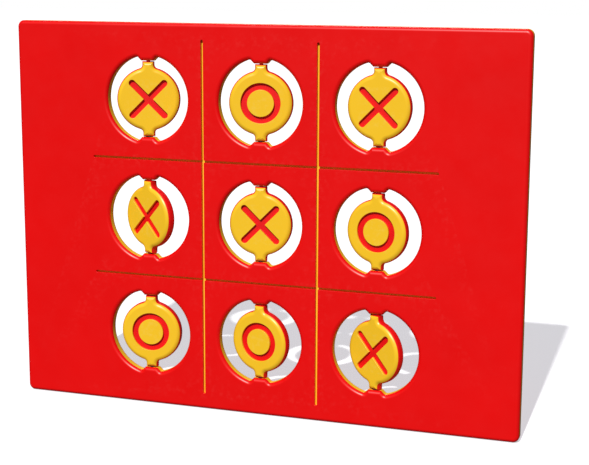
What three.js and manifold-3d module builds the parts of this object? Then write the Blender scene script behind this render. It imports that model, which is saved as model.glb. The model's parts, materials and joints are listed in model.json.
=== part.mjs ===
// Noughts-and-crosses play panel: a three-layer plastic board with nine cutouts, and in each
// cutout a spinning marker disc that carries a cross on one face and a nought on the other.
// Frame, in millimetres: X to the right seen from the front, the front faces -Y, Z up.
// The origin is at the middle of the board's bottom edge, half way through its thickness.
import * as THREE from "three";
import { mergeVertices } from "three/addons/utils/BufferGeometryUtils.js";
import Module from "manifold-3d";

// Board
const BOARD_WIDTH = 800;
const BOARD_HEIGHT = 595;
const BOARD_THICKNESS = 19;
const BOARD_CORNER_RADIUS = 10;
const BOARD_CAP = 5; // coloured face layer, chamfered over its whole thickness
const BOARD_CHAMFER_WIDTH = 6;
const BOND_LINE = 0.05; // gap left between a bonded layer and its core

// Cells
const CELL_PITCH = 182;
const CENTRE_HEIGHT = BOARD_HEIGHT / 2;
const CUTOUT_RADIUS = 66;
const TAB_REACH = 58; // from the cell's centre to the end of the board's tab
const TAB_HALF_WIDTH = 10;
const CUTOUT_TIP_RADIUS = 4; // rounding where a tab's 45 degree side meets the cutout

// Grid lines routed in the front face, through the face layer and into the core
const GRID_LINE_WIDTH = 3.6;
const GRID_LINE_DEPTH = 5.5;
const GRID_LINE_OFFSET = CELL_PITCH / 2;
const GRID_LINE_LENGTH = 3 * CELL_PITCH;

// Marker discs
const DISC_RADIUS = 48;
const DISC_CAP = 3;
const DISC_CHAMFER_WIDTH = 7;
const NECK_REACH = 56.8;
const NECK_HALF_WIDTH = 9;
const NECK_FLARE_RADIUS = 6;
const MARK_DEPTH = 4.8;
const MARK_STROKE = 10;
const CROSS_REACH = 24.3; // from the cross's centre to the middle of an arm's round end, in X and Z
const NOUGHT_RADIUS = 30;

// Pivot hardware
const ROD_DIAMETER = 6;
const BORE_DIAMETER = 6.6;
const ROD_BOTTOM = 13;
const ROD_TOP = 572;
const BORE_TOP = 574;
const PLUG_DIAMETER = 7.4;
const PLUG_POCKET_DIAMETER = 8;
const PLUG_POCKET_DEPTH = 12.5;
const PLUG_LENGTH = 11.5;
const PLUG_RECESS = 0.5;
const PLUG_SLOT_WIDTH = 1.2;
const PLUG_SLOT_DEPTH = 1.6;
const WASHER_OUTER_DIAMETER = 11;
const WASHER_THICKNESS = 0.6;

// Facets
const CUTOUT_ARC_STEPS = 12;
const DISC_ARC_STEPS = 10;
const NOUGHT_STEPS = 20;
const ROD_STEPS = 12;
const ROUND_STEPS = 3; // small rounds and stroke ends
const CUTOUT_TIP_STEPS = 2;
const CLEAR = 20; // how far a cutting tool stands out past the face that it cuts

// Each disc: its place, the mark on its front face, and how far it is turned about its rod.
// A positive turn brings the front face round to the right.
const DISCS = [
  { row: "top", column: "left", front: "cross", turn: 18 },
  { row: "top", column: "centre", front: "nought", turn: 11.5 },
  { row: "top", column: "right", front: "cross", turn: -1.5 },
  { row: "middle", column: "left", front: "cross", turn: -23 },
  { row: "middle", column: "centre", front: "cross", turn: 8 },
  { row: "middle", column: "right", front: "nought", turn: -9 },
  { row: "bottom", column: "left", front: "nought", turn: 6.5 },
  { row: "bottom", column: "centre", front: "nought", turn: -11.5 },
  { row: "bottom", column: "right", front: "cross", turn: -24 },
];
const COLUMN_X = { left: -CELL_PITCH, centre: 0, right: CELL_PITCH };
const ROW_Z = {
  top: CENTRE_HEIGHT + CELL_PITCH,
  middle: CENTRE_HEIGHT,
  bottom: CENTRE_HEIGHT - CELL_PITCH,
};

const RED = { color: 0xe01a14, roughness: 0.42, metalness: 0 };
const YELLOW = { color: 0xf0bd22, roughness: 0.42, metalness: 0 };
const STEEL = { color: 0xb9bcc0, roughness: 0.3, metalness: 1 };
const NYLON = { color: 0x26272a, roughness: 0.55, metalness: 0 };

const wasm = await Module();
wasm.setup();

// ---- solids ----

// A closed three.js geometry as a manifold solid.
function solid(geometry) {
  const bare = geometry.clone();
  bare.deleteAttribute("normal");
  bare.deleteAttribute("uv");
  const merged = mergeVertices(bare, 1e-4);
  return new wasm.Manifold(
    new wasm.Mesh({
      numProp: 3,
      vertProperties: new Float32Array(merged.attributes.position.array),
      triVerts: new Uint32Array(merged.index.array),
    }),
  );
}

// A manifold solid as a three.js geometry with flat faces.
function geometryOf(manifold) {
  const mesh = manifold.getMesh();
  const indexed = new THREE.BufferGeometry();
  indexed.setAttribute("position", new THREE.BufferAttribute(mesh.vertProperties, 3));
  indexed.setIndex(new THREE.BufferAttribute(mesh.triVerts, 1));
  const geometry = indexed.toNonIndexed();
  geometry.computeVertexNormals();
  return geometry;
}

// A flat outline made solid from one depth to another. Outlines are drawn in X and Z as seen
// from the front, and depth is Y, so the result stands upright.
function slab(outline, yFrom, yTo) {
  const geometry = new THREE.ExtrudeGeometry(outline, { depth: yTo - yFrom, bevelEnabled: false });
  geometry.rotateX(Math.PI / 2);
  geometry.translate(0, yTo, 0);
  return solid(geometry);
}

// A face layer: its inner face has the full outline, and a chamfer as deep as the layer leads
// to its outer face. side is -1 for the front of the board and 1 for the rear.
function cappedSlab(outline, thickness, layer, chamferWidth, side) {
  const geometry = new THREE.ExtrudeGeometry(outline, {
    depth: thickness - 2 * layer,
    bevelThickness: layer,
    bevelSize: chamferWidth,
    bevelOffset: -chamferWidth,
    bevelSegments: 1,
  });
  geometry.rotateX(Math.PI / 2);
  geometry.translate(0, thickness / 2 - layer, 0);
  const inner = thickness / 2 - layer;
  const outer = thickness / 2 + CLEAR;
  const keep = side < 0 ? block(-outer, -inner) : block(inner, outer);
  return solid(geometry).intersect(keep);
}

// A block much wider than the board, between two depths.
function block(yFrom, yTo) {
  const geometry = new THREE.BoxGeometry(2 * BOARD_WIDTH, yTo - yFrom, 4 * BOARD_HEIGHT);
  geometry.translate(0, (yFrom + yTo) / 2, 0);
  return solid(geometry);
}

// An upright round bar.
function bar(diameter, zFrom, zTo, steps) {
  const geometry = new THREE.CylinderGeometry(diameter / 2, diameter / 2, zTo - zFrom, steps);
  geometry.rotateX(Math.PI / 2);
  geometry.translate(0, 0, (zFrom + zTo) / 2);
  return solid(geometry);
}

function mesh(name, manifold, finish) {
  const made = new THREE.Mesh(geometryOf(manifold), new THREE.MeshStandardMaterial(finish));
  made.name = name;
  return made;
}

// ---- outlines, in X and Z ----

// Points on an arc, both ends included. Angles are in radians.
function arc(x, z, radius, from, to, steps) {
  const points = [];
  for (let i = 0; i <= steps; i++) {
    const angle = from + ((to - from) * i) / steps;
    points.push(new THREE.Vector2(x + radius * Math.cos(angle), z + radius * Math.sin(angle)));
  }
  return points;
}

// A quarter outline, given from its top to its right-hand side, mirrored into a closed one
// that runs clockwise. A point on the middle line isn't repeated.
function mirrored(quarter) {
  const right = [...quarter];
  for (const point of [...quarter].reverse()) {
    if (Math.abs(point.y) > 1e-6) right.push(new THREE.Vector2(point.x, -point.y));
  }
  const left = [...right].reverse().map((point) => new THREE.Vector2(-point.x, point.y));
  return [...right, ...left];
}

function shifted(points, x, z) {
  return points.map((point) => new THREE.Vector2(point.x + x, point.y + z));
}

function boardOutline() {
  const x = BOARD_WIDTH / 2 - BOARD_CORNER_RADIUS;
  const quarter = Math.PI / 2;
  const points = [];
  const corners = [
    [x, BOARD_HEIGHT - BOARD_CORNER_RADIUS],
    [-x, BOARD_HEIGHT - BOARD_CORNER_RADIUS],
    [-x, BOARD_CORNER_RADIUS],
    [x, BOARD_CORNER_RADIUS],
  ];
  corners.forEach(([cx, cz], i) => {
    points.push(...arc(cx, cz, BOARD_CORNER_RADIUS, i * quarter, (i + 1) * quarter, ROUND_STEPS));
  });
  return points;
}

// A round cutout with the board's two tabs standing into it from above and below. Each tab has
// a flat end and 45 degree sides, and a small round joins each side to the round wall.
function cutoutOutline() {
  const lineHeight = TAB_REACH - TAB_HALF_WIDTH; // the side follows z = x + lineHeight
  const tipHeight = lineHeight - CUTOUT_TIP_RADIUS * Math.SQRT2;
  const tipReach = CUTOUT_RADIUS - CUTOUT_TIP_RADIUS;
  const tipX = (Math.sqrt(2 * tipReach ** 2 - tipHeight ** 2) - tipHeight) / 2;
  const tipZ = tipX + tipHeight;
  const tipAngle = Math.atan2(tipZ, tipX);
  return mirrored([
    new THREE.Vector2(TAB_HALF_WIDTH, TAB_REACH),
    ...arc(tipX, tipZ, CUTOUT_TIP_RADIUS, (3 * Math.PI) / 4, tipAngle, CUTOUT_TIP_STEPS).slice(0, -1),
    ...arc(0, 0, CUTOUT_RADIUS, tipAngle, 0, CUTOUT_ARC_STEPS / 2),
  ]);
}

// A disc with a short neck above and below, each flared into the disc by a hollow round.
function discOutline() {
  const flareX = NECK_HALF_WIDTH + NECK_FLARE_RADIUS;
  const flareReach = DISC_RADIUS + NECK_FLARE_RADIUS;
  const flareZ = Math.sqrt(flareReach ** 2 - flareX ** 2);
  const joinAngle = Math.atan2(flareZ, flareX);
  return mirrored([
    new THREE.Vector2(NECK_HALF_WIDTH, NECK_REACH),
    ...arc(flareX, flareZ, NECK_FLARE_RADIUS, Math.PI, Math.PI + joinAngle, ROUND_STEPS).slice(0, -1),
    ...arc(0, 0, DISC_RADIUS, joinAngle, 0, DISC_ARC_STEPS / 2),
  ]);
}

// A cross of two round-ended strokes.
function crossOutline() {
  const points = [];
  for (let arm = 0; arm < 4; arm++) {
    const angle = Math.PI / 4 + (arm * Math.PI) / 2;
    const x = CROSS_REACH * Math.SQRT2 * Math.cos(angle);
    const z = CROSS_REACH * Math.SQRT2 * Math.sin(angle);
    const inner = angle - Math.PI / 4;
    const reach = (MARK_STROKE / 2) * Math.SQRT2;
    points.push(new THREE.Vector2(reach * Math.cos(inner), reach * Math.sin(inner)));
    points.push(...arc(x, z, MARK_STROKE / 2, angle - Math.PI / 2, angle + Math.PI / 2, ROUND_STEPS));
  }
  return points;
}

function circleOutline(radius, steps) {
  return arc(0, 0, radius, 0, 2 * Math.PI, steps).slice(0, -1);
}

function shapeOf(points, ...holes) {
  const shape = new THREE.Shape(points);
  shape.holes.push(...holes.map((hole) => new THREE.Path(hole)));
  return shape;
}

// A round-ended line, lying along X or standing along Z.
function lineOutline(x, z, upright) {
  const end = (GRID_LINE_LENGTH - GRID_LINE_WIDTH) / 2;
  const half = GRID_LINE_WIDTH / 2;
  const flat = [
    ...arc(end, 0, half, -Math.PI / 2, Math.PI / 2, ROUND_STEPS),
    ...arc(-end, 0, half, Math.PI / 2, (3 * Math.PI) / 2, ROUND_STEPS),
  ];
  const turned = upright ? flat.map((point) => new THREE.Vector2(-point.y, point.x)) : flat;
  return shifted(turned, x, z);
}

// ---- board ----

function gridTool() {
  const lines = [
    lineOutline(-GRID_LINE_OFFSET, CENTRE_HEIGHT, true),
    lineOutline(GRID_LINE_OFFSET, CENTRE_HEIGHT, true),
    lineOutline(0, CENTRE_HEIGHT - GRID_LINE_OFFSET, false),
    lineOutline(0, CENTRE_HEIGHT + GRID_LINE_OFFSET, false),
  ];
  const front = -BOARD_THICKNESS / 2;
  const tools = lines.map((line) => slab(shapeOf(line), front - CLEAR, front + GRID_LINE_DEPTH));
  return tools.reduce((all, tool) => all.add(tool));
}

// The bores that the rods stand in, each with a wider pocket for its plug at the bottom edge.
function boreTool() {
  const tools = Object.values(COLUMN_X).map((x) =>
    bar(BORE_DIAMETER, -CLEAR, BORE_TOP, ROD_STEPS)
      .add(bar(PLUG_POCKET_DIAMETER, -CLEAR, PLUG_POCKET_DEPTH, ROD_STEPS))
      .translate([x, 0, 0]),
  );
  return tools.reduce((all, tool) => all.add(tool));
}

// The middle cell's square, along the middles of the four grid lines.
function centreSquare() {
  const half = GRID_LINE_OFFSET;
  const corners = [
    [-half, -half],
    [half, -half],
    [half, half],
    [-half, half],
  ].map(([x, z]) => new THREE.Vector2(x, CENTRE_HEIGHT + z));
  return slab(shapeOf(corners), -BOARD_THICKNESS, BOARD_THICKNESS);
}

// The four grid lines cut the middle cell's square out of the front layer, so that it is a
// piece of its own, bonded to the core.
function buildBoard() {
  const cutouts = [];
  for (const z of Object.values(ROW_Z)) {
    for (const x of Object.values(COLUMN_X)) cutouts.push(shifted(cutoutOutline(), x, z));
  }
  const outline = shapeOf(boardOutline(), ...cutouts);
  const coreHalf = BOARD_THICKNESS / 2 - BOARD_CAP - BOND_LINE;
  const grid = gridTool();
  const faceLayer = (side) =>
    cappedSlab(outline, BOARD_THICKNESS, BOARD_CAP, BOARD_CHAMFER_WIDTH, side);
  const front = faceLayer(-1).subtract(grid);
  const rear = faceLayer(1);
  const core = slab(outline, -coreHalf, coreHalf).subtract(grid).subtract(boreTool());
  const board = new THREE.Group();
  board.add(mesh("panel_front_layer", front.subtract(centreSquare()), RED));
  board.add(mesh("panel_front_layer_centre", front.intersect(centreSquare()), RED));
  board.add(mesh("panel_core", core, YELLOW));
  board.add(mesh("panel_rear_layer", rear, RED));
  return board;
}

// ---- marker discs ----

// The routed mark as a cutting tool, from outside the face down to the mark's depth.
function markTool(mark, side) {
  const outline =
    mark === "cross"
      ? shapeOf(crossOutline())
      : shapeOf(
          circleOutline(NOUGHT_RADIUS, NOUGHT_STEPS),
          circleOutline(NOUGHT_RADIUS - MARK_STROKE, NOUGHT_STEPS),
        );
  const face = BOARD_THICKNESS / 2;
  return side < 0
    ? slab(outline, -face - CLEAR, -face + MARK_DEPTH)
    : slab(outline, face - MARK_DEPTH, face + CLEAR);
}

// A face layer of a disc, with its mark cut through. A nought leaves a loose round inside it,
// which is a piece of its own, so it is returned apart.
function discLayer(mark, side) {
  const outline = shapeOf(discOutline());
  const layer = cappedSlab(outline, BOARD_THICKNESS, DISC_CAP, DISC_CHAMFER_WIDTH, side);
  const cut = layer.subtract(markTool(mark, side));
  if (mark === "cross") return { layer: cut };
  const middle = shapeOf(circleOutline(NOUGHT_RADIUS - MARK_STROKE / 2, NOUGHT_STEPS));
  const tool = slab(middle, -BOARD_THICKNESS, BOARD_THICKNESS);
  return { layer: cut.subtract(tool), round: cut.intersect(tool) };
}

function buildDisc({ row, column, front, turn }) {
  const name = `disc_${row}_${column}`;
  const rear = front === "cross" ? "nought" : "cross";
  const coreHalf = BOARD_THICKNESS / 2 - DISC_CAP - BOND_LINE;
  const core = slab(shapeOf(discOutline()), -coreHalf, coreHalf)
    .subtract(markTool(front, -1))
    .subtract(markTool(rear, 1))
    .subtract(bar(BORE_DIAMETER, -NECK_REACH - CLEAR, NECK_REACH + CLEAR, ROD_STEPS));
  const disc = new THREE.Group();
  disc.add(mesh(`${name}_core`, core, RED));
  for (const [face, mark, side] of [
    ["front", front, -1],
    ["rear", rear, 1],
  ]) {
    const { layer, round } = discLayer(mark, side);
    disc.add(mesh(`${name}_${face}_layer`, layer, YELLOW));
    if (round) disc.add(mesh(`${name}_${face}_nought_centre`, round, YELLOW));
  }
  disc.position.set(COLUMN_X[column], 0, ROW_Z[row]);
  disc.rotation.z = THREE.MathUtils.degToRad(turn);
  return disc;
}

// ---- pivot hardware ----

function buildRod(column) {
  const rod = mesh(`pivot_rod_${column}`, bar(ROD_DIAMETER, ROD_BOTTOM, ROD_TOP, ROD_STEPS), STEEL);
  rod.position.x = COLUMN_X[column];
  return rod;
}

// A slotted plug that closes the bottom of a bore and carries the rod.
function buildPlug(column) {
  const slot = new THREE.BoxGeometry(PLUG_POCKET_DIAMETER, PLUG_SLOT_WIDTH, 2 * PLUG_SLOT_DEPTH);
  slot.translate(0, 0, PLUG_RECESS);
  const body = bar(PLUG_DIAMETER, PLUG_RECESS, PLUG_RECESS + PLUG_LENGTH, ROD_STEPS);
  const plug = mesh(`rod_plug_${column}`, body.subtract(solid(slot)), NYLON);
  plug.position.x = COLUMN_X[column];
  return plug;
}

// The washer that a disc's lower neck turns on, in the gap above the board's lower tab.
function buildWasher({ row, column }) {
  const gap = TAB_REACH - NECK_REACH;
  const low = -TAB_REACH + (gap - WASHER_THICKNESS) / 2;
  const ring = bar(WASHER_OUTER_DIAMETER, low, low + WASHER_THICKNESS, ROD_STEPS).subtract(
    bar(BORE_DIAMETER, low - CLEAR, low + WASHER_THICKNESS + CLEAR, ROD_STEPS),
  );
  const washer = mesh(`thrust_washer_${row}_${column}`, ring, NYLON);
  washer.position.set(COLUMN_X[column], 0, ROW_Z[row]);
  return washer;
}

const panel = new THREE.Group();
panel.add(buildBoard());
for (const column of Object.keys(COLUMN_X)) panel.add(buildRod(column), buildPlug(column));
for (const disc of DISCS) panel.add(buildDisc(disc), buildWasher(disc));

export default panel;
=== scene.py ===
"""A noughts-and-crosses play panel: a three-layer plastic board whose nine cutouts each hold a
spinning marker disc. Lengths are in metres. X is to the right seen from the front, the front
faces -Y, and Z is up."""

import json
import math

import bmesh
import bpy
from mathutils import Matrix, Vector
from mathutils.geometry import tessellate_polygon


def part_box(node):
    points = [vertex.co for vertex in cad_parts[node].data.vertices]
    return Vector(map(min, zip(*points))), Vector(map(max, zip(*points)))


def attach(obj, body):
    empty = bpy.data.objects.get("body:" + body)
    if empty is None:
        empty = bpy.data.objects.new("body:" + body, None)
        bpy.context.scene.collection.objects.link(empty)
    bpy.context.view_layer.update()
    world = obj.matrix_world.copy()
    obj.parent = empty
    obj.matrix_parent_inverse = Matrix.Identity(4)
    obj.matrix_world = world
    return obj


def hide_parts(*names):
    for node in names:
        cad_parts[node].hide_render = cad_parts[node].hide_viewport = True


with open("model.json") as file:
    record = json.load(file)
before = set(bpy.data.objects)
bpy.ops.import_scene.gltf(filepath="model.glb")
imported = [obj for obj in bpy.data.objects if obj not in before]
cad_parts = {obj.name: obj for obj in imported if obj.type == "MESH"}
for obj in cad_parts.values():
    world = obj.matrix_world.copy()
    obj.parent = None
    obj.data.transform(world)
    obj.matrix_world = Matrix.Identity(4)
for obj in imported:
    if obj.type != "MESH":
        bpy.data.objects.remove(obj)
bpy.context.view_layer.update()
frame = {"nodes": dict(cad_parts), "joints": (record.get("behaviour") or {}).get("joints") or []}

# ---- sizes ----

BOARD_CORNER_RADIUS = 0.010
BOARD_EDGE_RADIUS = 0.006  # the face's quarter round, from the face down into the core
DISC_EDGE_RADIUS = 0.0073
DISC_HALF_THICKNESS = 0.009  # keeps the rounded rim of a turned disc inside the CAD's box
CUTOUT_RADIUS = 0.066
TAB_REACH = 0.058
TAB_HALF_WIDTH = 0.010
CUTOUT_TIP_RADIUS = 0.004
GRID_LINE_WIDTH = 0.0036
GRID_LINE_DEPTH = 0.0055
DISC_RADIUS = 0.048
NECK_REACH = 0.0568
NECK_HALF_WIDTH = 0.009
NECK_FLARE_RADIUS = 0.006
MARK_DEPTH = 0.0048
MARK_STROKE = 0.010
CROSS_REACH = 0.0243
NOUGHT_RADIUS = 0.030
ROUTED_EDGE_BREAK = 0.0004
ROUTED_FLOOR_ROUND = 0.0004
ROD_BORE_RADIUS = 0.0033
SMALL_CHAMFER = 0.0006
WASHER_CHAMFER = SMALL_CHAMFER / 3
BORE_END_GAP = 2 * SMALL_CHAMFER  # past the end of a rod or plug
PLUG_POCKET_GAP = 0.0002  # between a plug and its pocket, all round
ON_MIDDLE_LINE = 1e-9  # closer than this, a point isn't mirrored
CUT_CLEARANCE = 0.004  # how far a cutting tool stands out past what it cuts
PLUG_SLOT_WIDTH = 0.0012
PLUG_SLOT_DEPTH = 0.0016

CUTOUT_ARC_STEPS = 64  # from tab to tab, on each side
DISC_ARC_STEPS = 48
NOUGHT_STEPS = 96
ROUND_STEPS = 8  # small arcs in an outline, and the quarter round along an edge
TURNED_STEPS = 48
SHARP_CORNER = math.radians(25)

FRONT = -1
REAR = 1

board_low, board_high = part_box("panel_core")
front_low, front_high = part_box("panel_front_layer")
BOARD_WIDTH = board_high.x - board_low.x
BOARD_HEIGHT = board_high.z - board_low.z
HALF_THICKNESS = -front_low.y
BOARD_LAYER = front_high.y - front_low.y
DISC_LAYER = 0.003
CELLS = {joint["child"]: Vector(joint["pos_m"]) for joint in frame["joints"]}
CELL_PITCH = max(cell.x for cell in CELLS.values())
GRID_CENTRE = Vector((0, 0, BOARD_HEIGHT / 2))


# ---- outlines: closed loops of (x, z) points ----

def arc(x, z, radius, start, end, steps):
    angles = [start + (end - start) * i / steps for i in range(steps + 1)]
    return [(x + radius * math.cos(a), z + radius * math.sin(a)) for a in angles]


def mirrored(quarter):
    """A quarter outline, from its top to its right-hand side, as a whole one that runs clockwise."""
    lower = [(x, -z) for x, z in reversed(quarter) if abs(z) > ON_MIDDLE_LINE]
    right = quarter + lower
    left = [(-x, z) for x, z in reversed(right)]
    return right + left


def moved(points, x, z):
    return [(px + x, pz + z) for px, pz in points]


def board_outline():
    x = BOARD_WIDTH / 2 - BOARD_CORNER_RADIUS
    high = BOARD_HEIGHT - BOARD_CORNER_RADIUS
    low = BOARD_CORNER_RADIUS
    points = []
    for i, (cx, cz) in enumerate([(x, high), (-x, high), (-x, low), (x, low)]):
        start = i * math.pi / 2
        points += arc(cx, cz, BOARD_CORNER_RADIUS, start, start + math.pi / 2, 2 * ROUND_STEPS)
    return points


def cutout_outline():
    """A round cutout with a tab standing into it from above and from below, run clockwise."""
    side_height = TAB_REACH - TAB_HALF_WIDTH
    tip_height = side_height - CUTOUT_TIP_RADIUS * math.sqrt(2)
    tip_reach = CUTOUT_RADIUS - CUTOUT_TIP_RADIUS
    tip_x = (math.sqrt(2 * tip_reach**2 - tip_height**2) - tip_height) / 2
    tip_z = tip_x + tip_height
    tip_angle = math.atan2(tip_z, tip_x)
    tip = arc(tip_x, tip_z, CUTOUT_TIP_RADIUS, 3 * math.pi / 4, tip_angle, ROUND_STEPS)
    wall = arc(0, 0, CUTOUT_RADIUS, tip_angle, 0, CUTOUT_ARC_STEPS // 2)
    return mirrored([(TAB_HALF_WIDTH, TAB_REACH)] + tip[:-1] + wall)


def disc_outline():
    """A disc with a neck above and below, each flared into the disc, run anticlockwise."""
    flare_x = NECK_HALF_WIDTH + NECK_FLARE_RADIUS
    flare_z = math.sqrt((DISC_RADIUS + NECK_FLARE_RADIUS) ** 2 - flare_x**2)
    join = math.atan2(flare_z, flare_x)
    flare = arc(flare_x, flare_z, NECK_FLARE_RADIUS, math.pi, math.pi + join, ROUND_STEPS)
    rim = arc(0, 0, DISC_RADIUS, join, 0, DISC_ARC_STEPS // 2)
    outline = mirrored([(NECK_HALF_WIDTH, NECK_REACH)] + flare[:-1] + rim)
    return outline[::-1]


def cross_outline():
    """Two round-ended strokes, run anticlockwise."""
    points = []
    inner = MARK_STROKE / math.sqrt(2)
    for i in range(4):
        angle = math.pi / 4 + i * math.pi / 2
        x = CROSS_REACH * math.sqrt(2) * math.cos(angle)
        z = CROSS_REACH * math.sqrt(2) * math.sin(angle)
        notch = angle - math.pi / 4
        start = angle - math.pi / 2
        points.append((inner * math.cos(notch), inner * math.sin(notch)))
        points += arc(x, z, MARK_STROKE / 2, start, angle + math.pi / 2, 2 * ROUND_STEPS)
    return points


def circle_outline(radius):
    return arc(0, 0, radius, 0, 2 * math.pi, NOUGHT_STEPS)[:-1]


def grid_outline():
    """The outside of the four crossing grid lines, run anticlockwise about the grid's centre."""
    line = CELL_PITCH / 2
    half = GRID_LINE_WIDTH / 2
    end = 1.5 * CELL_PITCH - half
    quarter = [(line + half, line - half)]
    quarter += arc(end, line, half, -math.pi / 2, math.pi / 2, ROUND_STEPS)
    quarter += [(line + half, line + half)]
    quarter += arc(line, end, half, 0, math.pi, ROUND_STEPS)
    quarter += [(line - half, line + half)]
    points = []
    for i in range(4):
        c, s = round(math.cos(i * math.pi / 2)), round(math.sin(i * math.pi / 2))
        points += [(x * c - z * s, x * s + z * c) for x, z in quarter]
    return moved(points, GRID_CENTRE.x, GRID_CENTRE.z)


def square_outline():
    """The middle cell's square, inside the grid lines, run anticlockwise."""
    half = (CELL_PITCH - GRID_LINE_WIDTH) / 2
    corners = [(half, half), (-half, half), (-half, -half), (half, -half)]
    return moved(corners, GRID_CENTRE.x, GRID_CENTRE.z)


class Loop:
    """A closed outline with the solid on its left. Its normals point out of the solid."""

    def __init__(self, points):
        self.points = [Vector(p) for p in points]
        count = len(self.points)
        self.edges = []
        for i, point in enumerate(self.points):
            along = self.points[(i + 1) % count] - point
            self.edges.append(Vector((along.y, -along.x)).normalized())
        self.miters = []
        self.smooth = []
        for i in range(count):
            before, after = self.edges[i - 1], self.edges[i]
            self.miters.append((before + after) / (1 + before.dot(after)))
            sharp = before.angle(after) > SHARP_CORNER
            self.smooth.append(None if sharp else (before + after).normalized())

    def normal(self, i, edge):
        return self.smooth[i] or self.edges[edge]


# ---- closed meshes, built ring by ring ----

class Solid:
    """Rings of points joined by bands and closed by flat caps, with the normal that each face
    corner shades with. edge is 1 along the rounds that wear first, and 0 on flats."""

    def __init__(self):
        self.points = []
        self.edge = []
        self.polygons = []
        self.normals = []

    def ring(self, loop, y, inset, edge=0.0):
        start = len(self.points)
        for point, miter in zip(loop.points, loop.miters):
            x, z = point - miter * inset
            self.points.append(Vector((x, y, z)))
            self.edge.append(edge)
        return list(range(start, len(self.points)))

    def polygon(self, corners, normals):
        a, b, c = (self.points[i] for i in corners[:3])
        if (b - a).cross(c - a).dot(sum(normals, Vector())) < 0:
            corners, normals = corners[::-1], normals[::-1]
        self.polygons.append(corners)
        self.normals += normals

    def band(self, loop, first, second, first_slope, second_slope):
        """Quads between two rings. A slope is (outward part, Y part) of the normal there."""
        count = len(first)
        for i in range(count):
            j = (i + 1) % count
            corners = [first[i], first[j], second[j], second[i]]
            slopes = [first_slope, first_slope, second_slope, second_slope]
            flat = [loop.normal(k, i) for k in (i, j, j, i)]
            normals = [Vector((n.x * out, y, n.y * out)) for n, (out, y) in zip(flat, slopes)]
            self.polygon(corners, normals)

    def cap(self, rings, direction):
        """A flat face inside the first ring and outside the others, facing along Y."""
        outlines = [[Vector((self.points[i].x, self.points[i].z, 0)) for i in r] for r in rings]
        index = [i for r in rings for i in r]
        normal = Vector((0, direction, 0))
        for triangle in tessellate_polygon(outlines):
            self.polygon([index[i] for i in triangle], [normal] * 3)

    def profile(self, loop, steps):
        """Bands along a list of (y, inset, slope, edge) steps. Returns the first and last ring."""
        rings = [self.ring(loop, y, inset, edge) for y, inset, _, edge in steps]
        for i in range(len(steps) - 1):
            self.band(loop, rings[i], rings[i + 1], steps[i][2], steps[i + 1][2])
        return rings[0], rings[-1]

    def build(self, name, place=Matrix.Identity(4)):
        mesh = bpy.data.meshes.new(name)
        mesh.from_pydata([place @ p for p in self.points], [], self.polygons)
        for polygon in mesh.polygons:
            polygon.use_smooth = True
        mesh.attributes.new("edge", "FLOAT", "POINT").data.foreach_set("value", self.edge)
        turn = place.to_3x3()
        mesh.normals_split_custom_set([(turn @ n).normalized() for n in self.normals])
        piece = bpy.data.objects.new(name, mesh)
        bpy.context.scene.collection.objects.link(piece)
        return piece


class EdgeRound:
    """The rounded edge of a face: a quarter round that crosses the face layer and ends flush
    with the wall, in the core. Tilts are measured from the face's normal."""

    def __init__(self, radius, layer, half):
        self.radius = radius
        self.layer = layer
        self.half = half  # from the middle of the sheet to its face
        self.tilt = math.acos(1 - layer / radius)  # where the layer meets the core

    def step(self, side, tilt, edge):
        y = side * (self.half - self.radius * (1 - math.cos(tilt)))
        slope = (math.sin(tilt), side * math.cos(tilt))
        return (y, self.radius * (1 - math.sin(tilt)), slope, edge)

    def face_steps(self, side):
        parts = [i / ROUND_STEPS for i in range(ROUND_STEPS + 1)]
        return [self.step(side, self.tilt * part, part**2) for part in parts]

    def core_steps(self, side):
        count = ROUND_STEPS // 2
        parts = [i / count for i in range(count + 1)]
        rest = math.pi / 2 - self.tilt
        return [self.step(side, self.tilt + rest * part, 1 - part) for part in parts]


def routed_steps(side, half, depth):
    """Steps of a routed line's or mark's upper wall, with a small round at the face."""
    steps = []
    for i in range(ROUND_STEPS // 2 + 1):
        a = math.pi / 2 * i / (ROUND_STEPS // 2)
        y = side * (half - ROUTED_EDGE_BREAK * (1 - math.cos(a)))
        inset = ROUTED_EDGE_BREAK * (1 - math.sin(a))
        steps.append((y, inset, (math.sin(a), side * math.cos(a)), 1.0))
    steps.append((side * (half - depth), 0, (1, 0), 0.0))
    return steps


def face_layer(name, side, edge, rim_loops, routed_loops, place=Matrix.Identity(4)):
    """A face layer of a board or disc: full edge rounds on its rims, and a small edge break
    where a line or mark is routed through it. The first loop is the one round the outside."""
    solid = Solid()
    rims = [solid.profile(loop, edge.face_steps(side)) for loop in rim_loops]
    routed = [solid.profile(loop, routed_steps(side, edge.half, edge.layer)) for loop in routed_loops]
    outer, inner = zip(*rims, *routed)
    solid.cap(outer, side)
    solid.cap(inner, -side)
    return solid.build(name, place)


def pocket(solid, loops, side, top, floor):
    """The part of a routed line or mark that goes on into the core, with a rounded foot."""
    floors, tops = [], []
    for loop in loops:
        steps = [(side * top, 0, (1, 0), 0.0)]
        for i in range(ROUND_STEPS // 2 + 1):
            a = math.pi / 2 * i / (ROUND_STEPS // 2)
            y = floor + ROUTED_FLOOR_ROUND * (1 - math.sin(a))
            inset = -ROUTED_FLOOR_ROUND * (1 - math.cos(a))
            steps.append((side * y, inset, (math.cos(a), side * math.sin(a)), 0.0))
        first, last = solid.profile(loop, steps)
        tops.append(first)
        floors.append(last)
    solid.cap(floors, side)
    return tops


def core_rims(solid, loops, edge):
    """The core's share of every outside edge, from the front layer to the rear layer."""
    steps = edge.core_steps(FRONT) + edge.core_steps(REAR)[::-1]
    return zip(*[solid.profile(loop, steps) for loop in loops])


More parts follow.
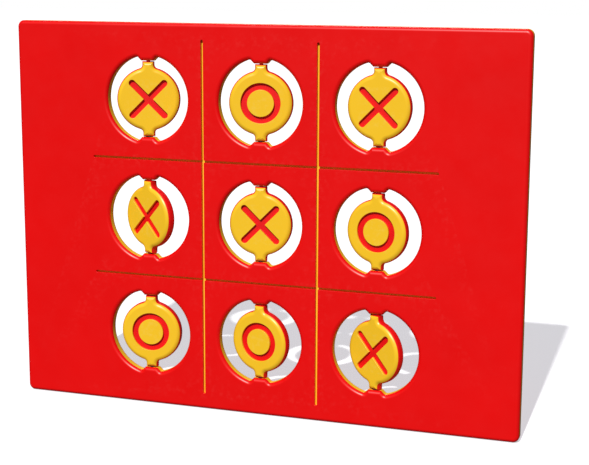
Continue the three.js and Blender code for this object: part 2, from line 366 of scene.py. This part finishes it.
def turned(name, profile, place):
    """A turned piece from a closed profile of (radius, z) points. A radius of 0 is the axis."""
    bm = bmesh.new()
    rings = []
    for radius, z in profile:
        if radius == 0:
            rings.append([bm.verts.new((0, 0, z))] * TURNED_STEPS)
            continue
        angles = [2 * math.pi * i / TURNED_STEPS for i in range(TURNED_STEPS)]
        rings.append([bm.verts.new((radius * math.cos(a), radius * math.sin(a), z)) for a in angles])
    for first, second in zip(rings, rings[1:] + rings[:1]):
        for i in range(TURNED_STEPS):
            j = (i + 1) % TURNED_STEPS
            corners = list(dict.fromkeys([first[i], first[j], second[j], second[i]]))
            if len(corners) > 2:
                bm.faces.new(corners)
    bmesh.ops.recalc_face_normals(bm, faces=bm.faces)
    mesh = bpy.data.meshes.new(name)
    bm.transform(place)
    bm.to_mesh(mesh)
    bm.free()
    piece = bpy.data.objects.new(name, mesh)
    bpy.context.scene.collection.objects.link(piece)
    smooth_by_angle(piece)
    return piece


def smooth_by_angle(piece):
    piece.data.shade_smooth()
    piece.data.set_sharp_from_angle(angle=SHARP_CORNER)


def cut(piece, *tools):
    """Takes the tools' shapes out of the piece, and removes the tools."""
    for tool in tools:
        modifier = piece.modifiers.new("cut", "BOOLEAN")
        modifier.operation = "DIFFERENCE"
        modifier.solver = "EXACT"
        modifier.object = tool
    graph = bpy.context.evaluated_depsgraph_get()
    mesh = bpy.data.meshes.new_from_object(piece.evaluated_get(graph))
    piece.modifiers.clear()
    old = piece.data
    piece.data = mesh
    bpy.data.meshes.remove(old)
    for tool in tools:
        bpy.data.meshes.remove(tool.data)
    smooth_by_angle(piece)


def bore_tool(low, high, place):
    return turned("tool", [(0, low), (ROD_BORE_RADIUS, low), (ROD_BORE_RADIUS, high), (0, high)], place)


# ---- materials ----

class Nodes:
    """Short names for building a material's node tree."""

    def __init__(self, name):
        self.material = bpy.data.materials.new(name)
        self.material.use_nodes = True
        self.tree = self.material.node_tree
        self.shader = self.tree.nodes["Principled BSDF"]
        self.where = self.add("ShaderNodeTexCoord").outputs["Object"]

    def add(self, kind, **values):
        node = self.tree.nodes.new(kind)
        for key, value in values.items():
            setattr(node, key, value)
        return node

    def link(self, output, target):
        self.tree.links.new(output, target)

    def noise(self, scale, detail=3.0, stretch=(1, 1, 1), roughness=0.5):
        mapping = self.add("ShaderNodeMapping")
        mapping.inputs["Scale"].default_value = stretch
        self.link(self.where, mapping.inputs["Vector"])
        node = self.add("ShaderNodeTexNoise")
        node.inputs["Scale"].default_value = scale
        node.inputs["Detail"].default_value = detail
        node.inputs["Roughness"].default_value = roughness
        self.link(mapping.outputs["Vector"], node.inputs["Vector"])
        return node.outputs["Fac"]

    def spread(self, value, low, high, from_low=0.3, from_high=0.7):
        node = self.add("ShaderNodeMapRange")
        node.inputs["From Min"].default_value = from_low
        node.inputs["From Max"].default_value = from_high
        node.inputs["To Min"].default_value = low
        node.inputs["To Max"].default_value = high
        self.link(value, node.inputs["Value"])
        return node.outputs["Result"]

    def math(self, operation, first, second):
        node = self.add("ShaderNodeMath", operation=operation)
        for value, socket in zip((first, second), node.inputs):
            if isinstance(value, (int, float)):
                socket.default_value = value
            else:
                self.link(value, socket)
        return node.outputs["Value"]

    def mix(self, factor, first, second):
        node = self.add("ShaderNodeMix", data_type="RGBA")
        self.link(factor, node.inputs["Factor"])
        for value, socket in ((first, node.inputs[6]), (second, node.inputs[7])):
            if isinstance(value, tuple):
                socket.default_value = (*value, 1)
            else:
                self.link(value, socket)
        return node.outputs[2]

    def bump(self, heights):
        """Chained bumps, each a (height, strength, distance)."""
        normal = None
        for height, strength, distance in heights:
            node = self.add("ShaderNodeBump")
            node.inputs["Strength"].default_value = strength
            node.inputs["Distance"].default_value = distance
            self.link(height, node.inputs["Height"])
            if normal:
                self.link(normal, node.inputs["Normal"])
            normal = node.outputs["Normal"]
        self.link(normal, self.shader.inputs["Normal"])


def shaded(colour, factor):
    return tuple(channel * factor for channel in colour)


def moulded_plastic(name, colour, worn):
    """The sheet's moulded face: a fine pebbled skin, faint mottling, hairline scuffs, and a
    paler rub along the rounded edges."""
    nodes = Nodes(name)
    mottle = nodes.noise(9, 4)
    tint = nodes.mix(nodes.spread(mottle, 0, 1), shaded(colour, 0.97), shaded(colour, 1.02))
    edge = nodes.add("ShaderNodeAttribute", attribute_name="edge").outputs["Fac"]
    rub = nodes.spread(nodes.noise(160, 5, roughness=0.65), 0, 0.35, 0.5, 0.8)
    hairline = nodes.noise(55, 2, stretch=(1, 1, 14))
    crossing = nodes.noise(48, 2, stretch=(16, 1, 1))
    hairline = nodes.spread(hairline, 0, 1, 0.62, 0.7)
    crossing = nodes.spread(crossing, 0, 1, 0.55, 0.68)
    scuff = nodes.math("MULTIPLY", hairline, crossing)
    rubbed = nodes.math("MULTIPLY", edge, rub)
    wear = nodes.math("ADD", rubbed, nodes.math("MULTIPLY", scuff, 0.05))
    nodes.link(nodes.mix(wear, tint, worn), nodes.shader.inputs["Base Color"])
    nodes.shader.inputs["Specular IOR Level"].default_value = SHEET_SPECULAR
    rough = nodes.spread(nodes.noise(35, 5), 0.33, 0.38)
    rough = nodes.math("ADD", rough, nodes.math("MULTIPLY", scuff, 0.06))
    nodes.link(rough, nodes.shader.inputs["Roughness"])
    pebble = nodes.noise(620, 2)
    grain = nodes.noise(2600, 2)
    wave = nodes.noise(14, 2)
    moulded = [(wave, 0.2, 0.0006), (pebble, 0.16, 0.0002), (grain, 0.12, 0.00005)]
    nodes.bump(moulded + [(scuff, 0.1, 0.0001)])
    return nodes.material


def routed_plastic(name, colour, worn):
    """A routed wall or floor: fine cutter marks across the sheet's thickness, a few deeper
    chatter lines, and a slightly paler fuzz where the cutter dragged."""
    nodes = Nodes(name)
    mottle = nodes.noise(22, 4)
    tint = nodes.mix(nodes.spread(mottle, 0, 1), shaded(colour, 0.94), shaded(colour, 1.03))
    lines = nodes.noise(900, 2, stretch=(1, 0.03, 1))
    chatter = nodes.noise(260, 1, stretch=(1, 0.05, 1))
    fuzz = nodes.spread(nodes.noise(420, 5, roughness=0.7), 0, 0.16, 0.55, 0.85)
    nodes.link(nodes.mix(fuzz, tint, worn), nodes.shader.inputs["Base Color"])
    nodes.shader.inputs["Specular IOR Level"].default_value = SHEET_SPECULAR
    nodes.link(nodes.spread(lines, 0.42, 0.58), nodes.shader.inputs["Roughness"])
    nodes.bump([(chatter, 0.25, 0.0002), (lines, 0.3, 0.00008)])
    return nodes.material


def brushed_steel():
    nodes = Nodes("brushed_steel_rod")
    draw = nodes.noise(1400, 3, stretch=(1, 1, 0.01))
    cloud = nodes.noise(60, 3)
    tint = nodes.mix(nodes.spread(cloud, 0, 1), (0.50, 0.51, 0.53), (0.62, 0.63, 0.65))
    nodes.link(tint, nodes.shader.inputs["Base Color"])
    nodes.shader.inputs["Metallic"].default_value = 1.0
    nodes.link(nodes.spread(draw, 0.22, 0.40), nodes.shader.inputs["Roughness"])
    nodes.bump([(draw, 0.2, 0.00003)])
    return nodes.material


def black_nylon():
    nodes = Nodes("black_nylon_moulding")
    cloud = nodes.noise(220, 4)
    tint = nodes.mix(nodes.spread(cloud, 0, 1), (0.012, 0.012, 0.013), (0.030, 0.030, 0.032))
    nodes.link(tint, nodes.shader.inputs["Base Color"])
    nodes.link(nodes.spread(cloud, 0.40, 0.58), nodes.shader.inputs["Roughness"])
    nodes.bump([(nodes.noise(2400, 2), 0.25, 0.00005)])
    return nodes.material


SHEET_SPECULAR = 0.45
RED = (0.80, 0.0010, 0.0012)
RED_WORN = (0.84, 0.05, 0.045)
YELLOW = (0.93, 0.55, 0.018)
YELLOW_WORN = (0.92, 0.66, 0.15)
red_face = moulded_plastic("red_sheet_face", RED, RED_WORN)
yellow_face = moulded_plastic("yellow_sheet_face", YELLOW, YELLOW_WORN)
red_core = routed_plastic("red_routed_core", RED, RED_WORN)
yellow_core = routed_plastic("yellow_routed_core", YELLOW, YELLOW_WORN)
steel = brushed_steel()
nylon = black_nylon()


def finish_piece(piece, node, body, material):
    """Gives a piece its material and its place in the assembly, and hides the CAD node that it stands
    in for.
    """
    piece.data.materials.clear()
    piece.data.materials.append(material)
    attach(piece, body)
    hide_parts(node)


# ---- board ----

def build_board():
    outline = Loop(board_outline())
    cutouts = {body: Loop(moved(cutout_outline(), cell.x, cell.z)) for body, cell in CELLS.items()}
    middle = cutouts["disc_middle_centre"]
    others = [loop for loop in cutouts.values() if loop is not middle]
    around_grid = Loop(grid_outline()[::-1])
    square = Loop(square_outline())

    edge = EdgeRound(BOARD_EDGE_RADIUS, BOARD_LAYER, HALF_THICKNESS)
    front = face_layer("board_front_face", FRONT, edge, [outline] + others, [around_grid])
    finish_piece(front, "panel_front_layer", "panel", red_face)
    centre = face_layer("board_front_face_middle_cell", FRONT, edge, [middle], [square])
    finish_piece(centre, "panel_front_layer_centre", "panel", red_face)
    rear = face_layer("board_rear_face", REAR, edge, [outline] + others + [middle], [])
    finish_piece(rear, "panel_rear_layer", "panel", red_face)

    solid = Solid()
    top = HALF_THICKNESS - BOARD_LAYER
    fronts, rears = core_rims(solid, [outline, middle] + others, edge)
    floor = HALF_THICKNESS - GRID_LINE_DEPTH
    grid_top, square_top = pocket(solid, [around_grid, square], FRONT, top, floor)
    solid.cap([fronts[0], *fronts[2:], grid_top], FRONT)
    solid.cap([square_top, fronts[1]], FRONT)
    solid.cap(rears, REAR)
    core = solid.build("board_core")
    plug_low, plug_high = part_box("rod_plug_centre")
    rod_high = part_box("pivot_rod_centre")[1].z
    tools = []
    for x in (-CELL_PITCH, 0, CELL_PITCH):
        place = Matrix.Translation((x, 0, 0))
        tools.append(bore_tool(-CUT_CLEARANCE, rod_high + BORE_END_GAP, place))
        radius = (plug_high.x - plug_low.x) / 2 + PLUG_POCKET_GAP
        high = plug_high.z + BORE_END_GAP
        low = -CUT_CLEARANCE
        tools.append(turned("tool", [(0, low), (radius, low), (radius, high), (0, high)], place))
    cut(core, *tools)
    finish_piece(core, "panel_core", "panel", yellow_core)


# ---- marker discs ----

def disc_turn(body):
    """How far the stored disc is turned about its rod, from the spread of its core's points."""
    centre = CELLS[body]
    offsets = [v.co - centre for v in frame["nodes"][f"{body}_core"].data.vertices]
    xx = sum(o.x * o.x for o in offsets)
    yy = sum(o.y * o.y for o in offsets)
    xy = sum(o.x * o.y for o in offsets)
    return math.atan2(2 * xy, xx - yy) / 2


def build_disc(body):
    place = Matrix.Translation(CELLS[body]) @ Matrix.Rotation(disc_turn(body), 4, "Z")
    outline = Loop(disc_outline())
    cross = [Loop(cross_outline()[::-1])]
    nought = [
        Loop(circle_outline(NOUGHT_RADIUS)[::-1]),
        Loop(circle_outline(NOUGHT_RADIUS - MARK_STROKE)),
    ]
    solid = Solid()
    edge = EdgeRound(DISC_EDGE_RADIUS, DISC_LAYER, DISC_HALF_THICKNESS)
    fronts, rears = core_rims(solid, [outline], edge)
    top = DISC_HALF_THICKNESS - DISC_LAYER
    floor = DISC_HALF_THICKNESS - MARK_DEPTH
    for side, word, rim in ((FRONT, "front", fronts), (REAR, "rear", rears)):
        is_nought = f"{body}_{word}_nought_centre" in frame["nodes"]
        mark = nought if is_nought else cross
        layer = face_layer(f"{body}_{word}_face", side, edge, [outline], mark[:1], place)
        finish_piece(layer, f"{body}_{word}_layer", body, yellow_face)
        tops = pocket(solid, mark, side, top, floor)
        solid.cap([rim[0], tops[0]], side)
        if is_nought:
            name = f"{body}_{word}_nought_middle"
            node = f"{body}_{word}_nought_centre"
            centre = face_layer(name, side, edge, [], mark[1:], place)
            finish_piece(centre, node, body, yellow_face)
            solid.cap([tops[1]], side)
    core = solid.build(f"{body}_routed_core", place)
    reach = NECK_REACH + CUT_CLEARANCE
    cut(core, bore_tool(-reach, reach, Matrix.Translation(CELLS[body])))
    finish_piece(core, f"{body}_core", body, red_core)


# ---- pivot hardware ----

def rounded_bar_profile(radius, low, high):
    c = SMALL_CHAMFER
    bottom = [(0, low), (radius - c, low), (radius, low + c)]
    return bottom + [(radius, high - c), (radius - c, high), (0, high)]


def build_hardware():
    for column in ("left", "centre", "right"):
        low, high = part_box(f"pivot_rod_{column}")
        place = Matrix.Translation(((low.x + high.x) / 2, 0, 0))
        rod = turned(f"rod_{column}", rounded_bar_profile((high.x - low.x) / 2, low.z, high.z), place)
        finish_piece(rod, f"pivot_rod_{column}", "panel", steel)

        low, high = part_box(f"rod_plug_{column}")
        plug = turned(f"plug_{column}", rounded_bar_profile((high.x - low.x) / 2, low.z, high.z), place)
        slot = turned("tool", [(0, -0.5), (1, -0.5), (1, 0.5), (0, 0.5)], Matrix.Identity(4))
        size = Vector((high.x - low.x, PLUG_SLOT_WIDTH / 2, PLUG_SLOT_DEPTH * 2))
        slot.data.transform(place @ Matrix.Translation((0, 0, low.z)) @ Matrix.Diagonal((*size, 1)))
        cut(plug, slot)
        finish_piece(plug, f"rod_plug_{column}", "panel", nylon)
    for body in CELLS:
        node = body.replace("disc", "thrust_washer")
        low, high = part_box(node)
        place = Matrix.Translation(((low.x + high.x) / 2, 0, 0))
        outer = (high.x - low.x) / 2
        c = WASHER_CHAMFER
        profile = [(ROD_BORE_RADIUS, low.z + c), (ROD_BORE_RADIUS + c, low.z), (outer - c, low.z)]
        profile += [(outer, low.z + c), (outer, high.z - c), (outer - c, high.z)]
        profile += [(ROD_BORE_RADIUS + c, high.z), (ROD_BORE_RADIUS, high.z - c)]
        washer = turned(node.replace("thrust_washer", "washer"), profile, place)
        finish_piece(washer, node, "panel", nylon)


# ---- stage, light and camera ----

FLOOR_SIZE = 40.0
FLOOR_DROP = 0.0003  # below the board's bottom edge
FLOOR_ALBEDO = 0.70
FLOOR_GLOW = 0.484
FLOOR_GLOW_COLOUR = (0.94, 0.93, 1.0)
SUN_AZIMUTH = math.radians(1.8)  # towards +X from straight in front
SUN_ELEVATION = math.radians(40.3)
SUN_STRENGTH = 3.62
SUN_ANGLE = math.radians(1.0)
BACK_SUN_AZIMUTH = math.radians(205)
BACK_SUN_ELEVATION = math.radians(48)
BACK_SUN_STRENGTH = 0.6
BACK_SUN_ANGLE = math.radians(20)
AMBIENT = 0.15
AMBIENT_IN_GLOSS = 0.03
CAMERA_PLACE = Vector((0.6992, -1.9160, 0.6707))
CAMERA_AZIMUTH = math.radians(18.642)
CAMERA_ELEVATION = math.radians(10.728)
CAMERA_ROLL = math.radians(0.272)
CAMERA_LENS = 84.16
SENSOR_WIDTH = 36.0


def build_floor():
    """A plain pale floor that takes shadows but throws no light back onto the object."""
    mesh = bpy.data.meshes.new("floor")
    half = FLOOR_SIZE / 2
    corners = [(-half, -half, 0), (half, -half, 0), (half, half, 0), (-half, half, 0)]
    mesh.from_pydata(corners, [], [(0, 1, 2, 3)])
    floor = bpy.data.objects.new("floor", mesh)
    floor.location.z = -FLOOR_DROP
    bpy.context.scene.collection.objects.link(floor)
    nodes = Nodes("pale_floor")
    nodes.shader.inputs["Base Color"].default_value = (FLOOR_ALBEDO, FLOOR_ALBEDO, FLOOR_ALBEDO, 1)
    nodes.shader.inputs["Roughness"].default_value = 1.0
    nodes.shader.inputs["Specular IOR Level"].default_value = 0.0
    nodes.shader.inputs["Emission Color"].default_value = (*FLOOR_GLOW_COLOUR, 1)
    nodes.shader.inputs["Emission Strength"].default_value = FLOOR_GLOW
    mesh.materials.append(nodes.material)
    floor.visible_diffuse = False
    floor.visible_glossy = False


def build_sun(name, azimuth, elevation, strength, angle):
    """A distant lamp. Azimuth 0 is straight in front of the board, and grows towards +X."""
    lamp = bpy.data.lights.new(name, "SUN")
    lamp.energy = strength
    lamp.angle = angle
    sun = bpy.data.objects.new(name, lamp)
    sun.rotation_euler = (math.pi / 2 - elevation, 0, azimuth)
    bpy.context.scene.collection.objects.link(sun)


def build_world():
    """White behind the object, a dimmer even light on it, and little of it in reflections."""
    world = bpy.data.worlds.new("studio")
    bpy.context.scene.world = world
    world.use_nodes = True
    tree = world.node_tree
    path = tree.nodes.new("ShaderNodeLightPath")
    strength = AMBIENT
    for ray, value in (("Is Glossy Ray", AMBIENT_IN_GLOSS), ("Is Camera Ray", 1.0)):
        choose = tree.nodes.new("ShaderNodeMix")
        choose.inputs["B"].default_value = value
        tree.links.new(path.outputs[ray], choose.inputs["Factor"])
        if isinstance(strength, float):
            choose.inputs["A"].default_value = strength
        else:
            tree.links.new(strength, choose.inputs["A"])
        strength = choose.outputs["Result"]
    background = tree.nodes["Background"]
    tree.links.new(strength, background.inputs["Strength"])
    background.inputs["Color"].default_value = (1, 1, 1, 1)


def build_camera():
    lens = bpy.data.cameras.new("camera")
    lens.sensor_width = SENSOR_WIDTH
    lens.lens = CAMERA_LENS
    lens.clip_end = 2 * FLOOR_SIZE
    camera = bpy.data.objects.new("camera", lens)
    turn = Matrix.Rotation(CAMERA_AZIMUTH, 4, "Z")
    tilt = Matrix.Rotation(math.pi / 2 - CAMERA_ELEVATION, 4, "X")
    roll = Matrix.Rotation(CAMERA_ROLL, 4, "Z")
    camera.matrix_world = Matrix.Translation(CAMERA_PLACE) @ turn @ tilt @ roll
    bpy.context.scene.collection.objects.link(camera)
    bpy.context.scene.camera = camera


build_board()
for body in CELLS:
    build_disc(body)
build_hardware()
build_floor()
build_sun("key_sun", SUN_AZIMUTH, SUN_ELEVATION, SUN_STRENGTH, SUN_ANGLE)
build_sun("back_sun", BACK_SUN_AZIMUTH, BACK_SUN_ELEVATION, BACK_SUN_STRENGTH, BACK_SUN_ANGLE)
build_world()
build_camera()
bpy.context.scene.view_settings.view_transform = "Standard"
